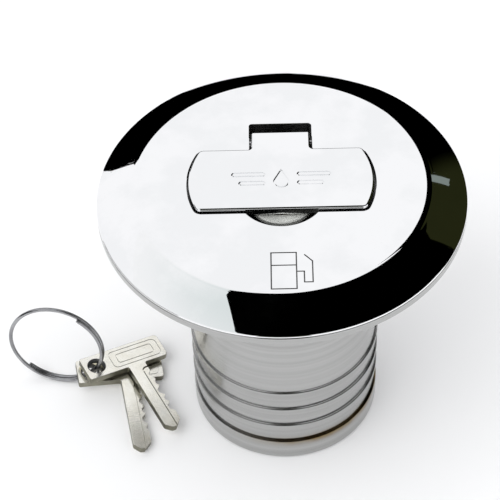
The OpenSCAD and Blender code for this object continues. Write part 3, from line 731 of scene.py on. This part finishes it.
def latheRing(name, prof, sides):
    # a closed profile that doesn't touch the axis, turned about Z
    t = np.linspace(0, 2 * np.pi, sides, endpoint=False)
    n = len(prof)
    x = prof[:, 0, None] * np.cos(t)
    y = prof[:, 0, None] * np.sin(t)
    z = np.repeat(prof[:, 1, None], sides, 1)
    verts = np.stack([x, y, z], -1).reshape(-1, 3)
    faces = (np.array(gridFaces(n + 1, sides)) % (n * sides)).tolist()
    return meshObject(name, verts, faces)


fillerBody = makeFiller()
finishPiece(fillerBody, "filler", "filler_body")
print("filler", len(fillerBody.data.polygons))


# turn and lean stand the ring up, in degrees; pitch, turns and start are its wire's helix
ring = {"x": -63.0, "y": 4.7, "turn": -11.0, "lean": 83.5, "r": 13.0, "wire": 0.54, "pitch": 1.122,
    "turns": 1.53, "start": 228.0, "floor": -73.3, "lift": 0.65, "tips": (0.72, 0.93)}
ring["z"] = ring["floor"] + ring["lift"] + ring["r"] * math.sin(math.radians(ring["lean"]))


def makeRing():
    # one and a half turns of wire along a shallow helix
    r = ring
    a = np.linspace(0, 360 * r["turns"], 260)
    t = np.radians(a + r["start"])
    path = np.stack([r["r"] * np.cos(t), r["r"] * np.sin(t), r["pitch"] * (a / 360 - r["turns"] / 2)], 1)
    taper = np.ones(len(a))
    taper[[0, -1]], taper[[1, -2]] = r["tips"]
    obj = tube("splitRing", path, r["wire"], 20, taper)
    fixNormals(obj)
    obj.data.transform(Matrix.Translation(Vector((r["x"], r["y"], r["z"])) * mm)
        @ Matrix.Rotation(math.radians(r["turn"]), 4, "Z")
        @ Matrix.Rotation(math.radians(r["lean"]), 4, "X"))
    smooth(obj, 50)
    return obj


# milled, channel and framed are depths; frames are their four sides with a corner radius
key = {"t": 1.9, "bow": 24.0, "bowW": 7.8, "left": 3.6, "bladeX": 10.6, "bladeW": 5.0, "bladeL": 23.4,
    "holeR": 2.1, "pitch": 3.0, "firstCut": 4.6, "cutHalf": 0.5, "soft": 0.12, "line": 0.2, "ward": 0.5,
    "milled": 0.22, "channel": 0.62, "channelW": 0.38, "framed": 0.16,
    "frames": (((4.4, 19.2, -2.9, 2.9), 1.4), ((6.2, 17.4, -1.6, 1.6), 0.8))}


def keyPlace(hole, tip, end, turn):
    # threads a key on the ring, tilted so that its hole, tip and bow lie at these heights
    r, k = ring, key
    lean, az = math.radians(r["lean"]), math.radians(r["turn"])
    up = (r["floor"] + hole - r["z"]) / math.sin(lean)
    side, back = math.sqrt(r["r"] ** 2 - up ** 2), up * math.cos(lean)
    x = r["x"] + side * math.cos(az) - back * math.sin(az)
    y = r["y"] + side * math.sin(az) + back * math.cos(az)
    fallX = (hole - end) / (k["bow"] - k["left"])
    fallY = (hole - tip - fallX * k["bladeX"]) / (k["bowW"] / 2 + k["bladeL"])
    way = math.atan2(-fallY, fallX)
    return (Matrix.Translation(Vector((x, y, r["floor"] + hole)) * mm)
        @ Matrix.Rotation(math.radians(turn) + way, 4, "Z")
        @ Matrix.Rotation(math.asin(math.hypot(fallX, fallY)), 4, "Y") @ Matrix.Rotation(-way, 4, "Z"))


def frameOutline(size, r, draw=0.0):
    # a rounded rectangle, drawn in by the line's width for its inner side
    x0, x1, y0, y1 = size
    x0, y0, x1, y1, r = x0 + draw, y0 + draw, x1 - draw, y1 - draw, r - draw
    return roundCorners([(x0, y0, r), (x1, y0, r), (x1, y1, r), (x0, y1, r)], 6)


def makeKey(name, cuts, place):
    # bow and blade in one outline carried up its thickness, then milled, drilled and framed
    k = key
    hw, root, half = k["bladeW"] / 2, -k["bowW"] / 2, k["t"] / 2
    tip, bx = root - k["bladeL"], k["bladeX"]
    left, right = -k["left"], k["bow"] - k["left"]
    corners = [(left, root, 0.5), (bx - hw, root, 0.5), (bx - hw, tip + 1.6, 0.8),
        (bx - hw + 1.8, tip, 0.6), (bx - hw + 3.0, tip, 0.4), (bx + hw, tip + 2.2, 0.5)]
    # bitting: the deepest of the notches' flat-bottomed 45-degree vees at each place along the blade
    for y in np.arange(tip + 2.6, root - 1.2, 0.12):
        depth = max(max(0, c - max(0, abs(y - (root - k["firstCut"] - i * k["pitch"])) - k["cutHalf"]))
            for i, c in enumerate(cuts))
        corners.append((bx + hw - depth, y, 0))
    corners += [(bx + hw, root, 0.6), (right, root, 1.0), (right, -root, 1.0), (left, -root, 0.5)]
    obj = plate(name, roundCorners(corners, 4), -half, half)
    fixNormals(obj)
    roundEdges(obj, k["soft"], 60, 2)
    # the hole's wall, the dish round it, the edge channels and the frame grooves take the dark recess finish:
    # painted shade inside them
    tools = dress([cylinderAt("keyHole", (0, 0, 0), k["holeR"], -2, 2, 64)], castAndPaintedShade)
    wx, w = bx + k["ward"], k["channelW"]
    for s in (-1, 1):
        # the milled side of the blade, with a narrow channel along its edge
        reach = bx + hw + 1
        field = roundCorners([(wx, tip - 1, 0), (reach, tip - 1, 0), (reach, root - 1.5, 0),
            (wx, root - 1.5, 1.3)], 8)
        inside = roundCorners([(wx + w, tip - 2, 0), (reach + 1, tip - 2, 0),
            (reach + 1, root - (1.5 + w), 0), (wx + w, root - (1.5 + w), 1.3 - w)], 8)
        a, b = sorted((s * (half - k["milled"]), s * (half + 1)))
        tools.append(plate("milled", field, a, b))
        a, b = sorted((s * (half - k["channel"]), s * (half + 1)))
        channel = plate("channel", field, a, b)
        cutBy(channel, [plate("core", inside, a - 1, b + 1)])
        tools += dress([channel], castAndPaintedShade)
        dish = latheRing("dish", np.array([[0.01, -0.5], [k["holeR"], -0.5], [k["holeR"] + 0.6, 0.1],
            [0.01, 0.1]]), 64)
        fixNormals(dish)
        turnOver = Matrix.Identity(4) if s > 0 else Matrix.Rotation(math.pi, 4, "X")
        dish.data.transform(turnOver @ Matrix.Translation(Vector((0, 0, half)) * mm))
        tools += dress([dish], castAndPaintedShade)
        a, b = sorted((s * (half - k["framed"]), s * (half + 1)))
        for size, r in k["frames"]:
            groove = plate("frame", frameOutline(size, r), a, b)
            cutBy(groove, [plate("inside", frameOutline(size, r, k["line"]), a - 1, b + 1)])
            tools += dress([groove], castAndPaintedShade)
    dress([obj], keyNickel)
    cutBy(obj, tools)
    # the side faces get a darker, rougher copy of the key's metal than the ground faces: painted shade along the
    # key's edges
    obj.data.materials.append(keySidePaintedShade)
    last = len(obj.data.materials) - 1
    for p in obj.data.polygons:
        if abs(p.normal.z) < 0.5 and p.material_index == 0:
            p.material_index = last
    obj.data.transform(place)
    smooth(obj, 35)
    return obj


splitRing = makeRing()
dress([splitRing], ringSteel)
finishPiece(splitRing, "ring", "split_ring")
# each key: the depths of its cuts, then the heights of hole, tip and bow above the floor, and its turn
upperKey = makeKey("upperKey", [0.9, 0.5, 1.2, 0.7, 1.1], keyPlace(6.6, 3.2, 3.6, 29))
finishPiece(upperKey, "upper_key", "key_a")
lowerKey = makeKey("lowerKey", [0.6, 1.1, 0.8, 1.2, 0.5], keyPlace(4.2, 1.15, 1.2, 11.5))
finishPiece(lowerKey, "lower_key", "key_b")
print("keys and ring")


# these nodes keep the CAD shape and only get a finish
finishes = {"seal_ring": blackRubber, "lock_gasket": blackRubber, "core_oring": blackRubber,
    "hinge_pin": satinSteel, "flap_spring": ringSteel, "plug_body": satinSteel, "plug_screws": satinSteel,
    "lock_housing": lockNickel, "lock_nut": lockBrass, "lock_core": lockBrass, "wafers": lockBrass,
    "wafer_springs": ringSteel, "stop_washer": satinSteel, "tongue": satinSteel, "tongue_screw": satinSteel}
for name, mat in finishes.items():
    nodes[name].data.materials.clear()
    nodes[name].data.materials.append(mat)
print("cad nodes dressed")


def emitter(name, colour):
    # a plain glowing colour
    mat = bpy.data.materials.new(name)
    mat.use_nodes = True
    t = mat.node_tree
    t.nodes.clear()
    e = t.nodes.new("ShaderNodeEmission")
    e.inputs["Color"].default_value = (*colour, 1)
    e.inputs["Strength"].default_value = 1.0
    t.links.new(e.outputs[0], t.nodes.new("ShaderNodeOutputMaterial").inputs[0])
    return mat


def card(name, corners, mat):
    # a flat card that only mirrors see; corners in metres
    mesh = bpy.data.meshes.new(name)
    mesh.from_pydata(corners, [], [list(range(len(corners)))])
    obj = bpy.data.objects.new(name, mesh)
    bpy.context.scene.collection.objects.link(obj)
    mesh.materials.append(mat)
    obj.visible_camera = obj.visible_diffuse = obj.visible_shadow = False
    obj.visible_transmission = obj.visible_volume_scatter = False


studio = {"floorZ": -0.07345, "floorHalf": 4, "floorTone": 0.96, "black": (0.0, 0.0, 0.0),
    "olive": (0.016, 0.018, 0.006), "grey": (0.76, 0.81, 0.81), "white": (0.97, 0.975, 0.985),
    "strip": (0.20, 0.235, 0.22), "shade": (0.052, 0.056, 0.043), "sky": (0.98, 0.985, 1.0),
    "far": 0.45, "stripFar": 0.43, "shoulderFar": 0.62, "ceiling": 0.5, "lampAt": (-0.8, -0.6, 1.2), "lampSize": 1.2,
    "lampPower": 8}
# edges of the cards: (heading, height) in degrees, or two headings and two heights for a plain one,
# and the ceiling card's corners (x, y) in metres
edges = {
    "backLow": [(-39.6, -11), (36, -11)],
    "backTop": [(-39.6, 9), (-39.4, 12.8), (-38.3, 15.6), (-35.6, 20.5), (-30, 28), (36, 28)],
    "sideLow": [(34, -11), (73.5, -11)],
    "sideTop": [(34, 19), (41, 26), (45.7, 30.6), (53.6, 39), (60, 42), (64.5, 41), (67.4, 36.4),
        (71.8, 28.7), (73.5, 20)],
    "ceiling": [(-0.155, -0.45), (0.8, -0.45), (0.8, 0.36), (0.25, 0.3), (0.1, 0.17), (-0.02, 0.12),
        (-0.153, -0.03)],
    "shoulder": (16, 88, -11, 56), "front": (166, 194, 10, 50), "grey": (196, 312, 42, 89.5),
    "outer": (234, 290, -8, 20),
    "strips": [((40.6, 25.8), (42.8, 27.9), (46.8, 21.3), (44.1, 19.6)),
        ((44.1, 19.6), (46.8, 21.3), (49.3, 15.7), (46.3, 14.6))]}
flagBlack = emitter("flagBlack", studio["black"])
flagStrip = emitter("flagStrip", studio["strip"])
flagShade = emitter("flagShade", studio["shade"])


def sweep(name, colours, az, el, span):
    # a card colour that runs from the first shade to the second as the heading goes through az, and
    # is the second shade again below the heights el; span is the card's distance over the usual one
    mat = emitter(name, colours[0])
    t = mat.node_tree
    sep = t.nodes.new("ShaderNodeSeparateXYZ")
    t.links.new(t.nodes.new("ShaderNodeTexCoord").outputs["Object"], sep.inputs["Vector"])
    turn = mathNode(t, "ARCTAN2", sep.outputs["X"], sep.outputs["Y"])
    wrap = mathNode(t, "MULTIPLY", mathNode(t, "LESS_THAN", turn, 0.0), 2 * math.pi)
    along = t.nodes.new("ShaderNodeMapRange")
    along.interpolation_type = "SMOOTHSTEP"
    along.inputs["From Min"].default_value = math.radians(az[0])
    along.inputs["From Max"].default_value = math.radians(az[1])
    t.links.new(mathNode(t, "ADD", turn, wrap), along.inputs["Value"])
    rise = t.nodes.new("ShaderNodeMapRange")
    rise.interpolation_type = "SMOOTHSTEP"
    rise.inputs["From Min"].default_value, rise.inputs["From Max"].default_value = [
        studio["far"] * span * math.sin(math.radians(a)) for a in el]
    rise.inputs["To Min"].default_value, rise.inputs["To Max"].default_value = 1.0, 0.0
    t.links.new(sep.outputs["Z"], rise.inputs["Value"])
    mix = t.nodes.new("ShaderNodeMix")
    mix.data_type = "RGBA"
    mix.inputs[6].default_value = (*colours[0], 1)
    mix.inputs[7].default_value = (*colours[1], 1)
    t.links.new(mathNode(t, "MAXIMUM", along.outputs["Result"], rise.outputs["Result"]), mix.inputs[0])
    t.links.new(mix.outputs[2], t.nodes["Emission"].inputs["Color"])
    return mat


def heading(az, el, far=studio["far"]):
    # a point in a direction: az in degrees from +Y towards +X, el above the horizon
    a, e = math.radians(az), math.radians(el)
    return (far * math.sin(a) * math.cos(e), far * math.cos(a) * math.cos(e), far * math.sin(e))


def skyShape(name, lower, upper, mat, far=studio["far"]):
    # a piece of a sphere round the origin, as a row of narrow cards between two edges given as (az, el)
    lo, up = np.array(lower, float), np.array(upper, float)
    count = max(3, int((up[-1, 0] - up[0, 0]) / 4))
    stops = np.unique(np.concatenate([np.linspace(up[0, 0], up[-1, 0], count), up[:, 0]]))
    for k, (a, b) in enumerate(zip(stops[:-1], stops[1:])):
        ends = [(a, np.interp(a, *lo.T)), (b, np.interp(b, *lo.T)), (b, np.interp(b, *up.T)),
            (a, np.interp(a, *up.T))]
        card(f"{name}{k}", [heading(az, el, far) for az, el in ends], mat)


def skyPatch(name, az0, az1, el0, el1, mat, far=studio["far"]):
    # a piece of the sphere between two headings and two heights
    skyShape(name, [(az0, el0), (az1, el0)], [(az0, el1), (az1, el1)], mat, far)


# each card makes one dark or grey shape in the polished chrome
skyShape("backFlag", edges["backLow"], edges["backTop"], flagBlack)
skyPatch("shoulderFlag", *edges["shoulder"], flagBlack, studio["shoulderFar"])
flagOlive = sweep("flagOlive", (studio["black"], studio["olive"]), (35, 43), (-80, -70), 1.0)
skyShape("sideFlag", edges["sideLow"], edges["sideTop"], flagOlive)
skyPatch("frontFlag", *edges["front"], flagShade)
flagGrey = sweep("flagGrey", (studio["grey"], studio["white"]), (246, 308), (43, 62), 2.0)
skyPatch("greyFlag", *edges["grey"], flagGrey, 2 * studio["far"])
skyPatch("edgeFlag", *edges["outer"], flagBlack)
card("topFlag", [(x, y, studio["ceiling"]) for x, y in edges["ceiling"]], flagBlack)
for k, corners in enumerate(edges["strips"]):
    card(f"stripFlag{k}", [heading(az, el, studio["stripFar"]) for az, el in corners], flagStrip)

floorMat = bpy.data.materials.new("paleFloor")
floorMat.use_nodes = True
floorShader = floorMat.node_tree.nodes["Principled BSDF"]
floorShader.inputs["Base Color"].default_value = (*[studio["floorTone"]] * 3, 1)
floorShader.inputs["Roughness"].default_value = 0.9
floorMesh = bpy.data.meshes.new("floor")
far = studio["floorHalf"]
corners = ((-far, -far), (far, -far), (far, far), (-far, far))
floorMesh.from_pydata([(x, y, studio["floorZ"]) for x, y in corners], [], [[0, 1, 2, 3]])
floor = bpy.data.objects.new("floor", floorMesh)
bpy.context.scene.collection.objects.link(floor)
floorMesh.materials.append(floorMat)

world = bpy.data.worlds.new("studioWorld")
bpy.context.scene.world = world
world.use_nodes = True
world.node_tree.nodes["Background"].inputs["Color"].default_value = (*studio["sky"], 1)
world.node_tree.nodes["Background"].inputs["Strength"].default_value = 1.0
softBox = bpy.data.lights.new("softBox", "AREA")
softBox.energy, softBox.size = studio["lampPower"], studio["lampSize"]
lamp = bpy.data.objects.new("softBox", softBox)
lamp.location = studio["lampAt"]
lamp.rotation_euler = Vector(studio["lampAt"]).to_track_quat("Z", "Y").to_euler()
bpy.context.scene.collection.objects.link(lamp)
lamp.visible_glossy = False

view = {"distance": 0.447, "elevation": 45.86, "roll": -1.19, "aimX": 1.0026, "aimY": -1.766, "lens": 129.6,
    "target": (0, 0, 0.0028)}


def makeCamera():
    # stands off the rim's centre at one elevation, then turns a little so the rim sits off the axis
    v = view
    e = math.radians(v["elevation"])
    stand = Vector((0, -math.cos(e), math.sin(e))) * v["distance"]
    forward = -stand.normalized()
    right = Vector((1, 0, 0))
    up = right.cross(forward)
    base = Matrix((right, -up, forward))
    roll = Matrix.Rotation(math.radians(v["roll"]), 3, "Z")
    aim = Vector((math.tan(math.radians(v["aimX"])), math.tan(math.radians(v["aimY"])), 1)).normalized()
    swing = Vector((0, 0, 1)).rotation_difference(aim).to_matrix()
    m = swing @ roll @ base
    data = bpy.data.cameras.new("camera")
    data.lens, data.sensor_width, data.sensor_fit = v["lens"], 36, "HORIZONTAL"
    data.clip_start, data.clip_end = 0.01, 20
    obj = bpy.data.objects.new("camera", data)
    bpy.context.scene.collection.objects.link(obj)
    rot = Matrix((m[0], -m[1], -m[2])).transposed().to_4x4()
    obj.matrix_world = Matrix.Translation(stand + Vector(v["target"])) @ rot
    bpy.context.scene.camera = obj


makeCamera()
bpy.context.scene.view_settings.view_transform = "Standard"
print("studio made")
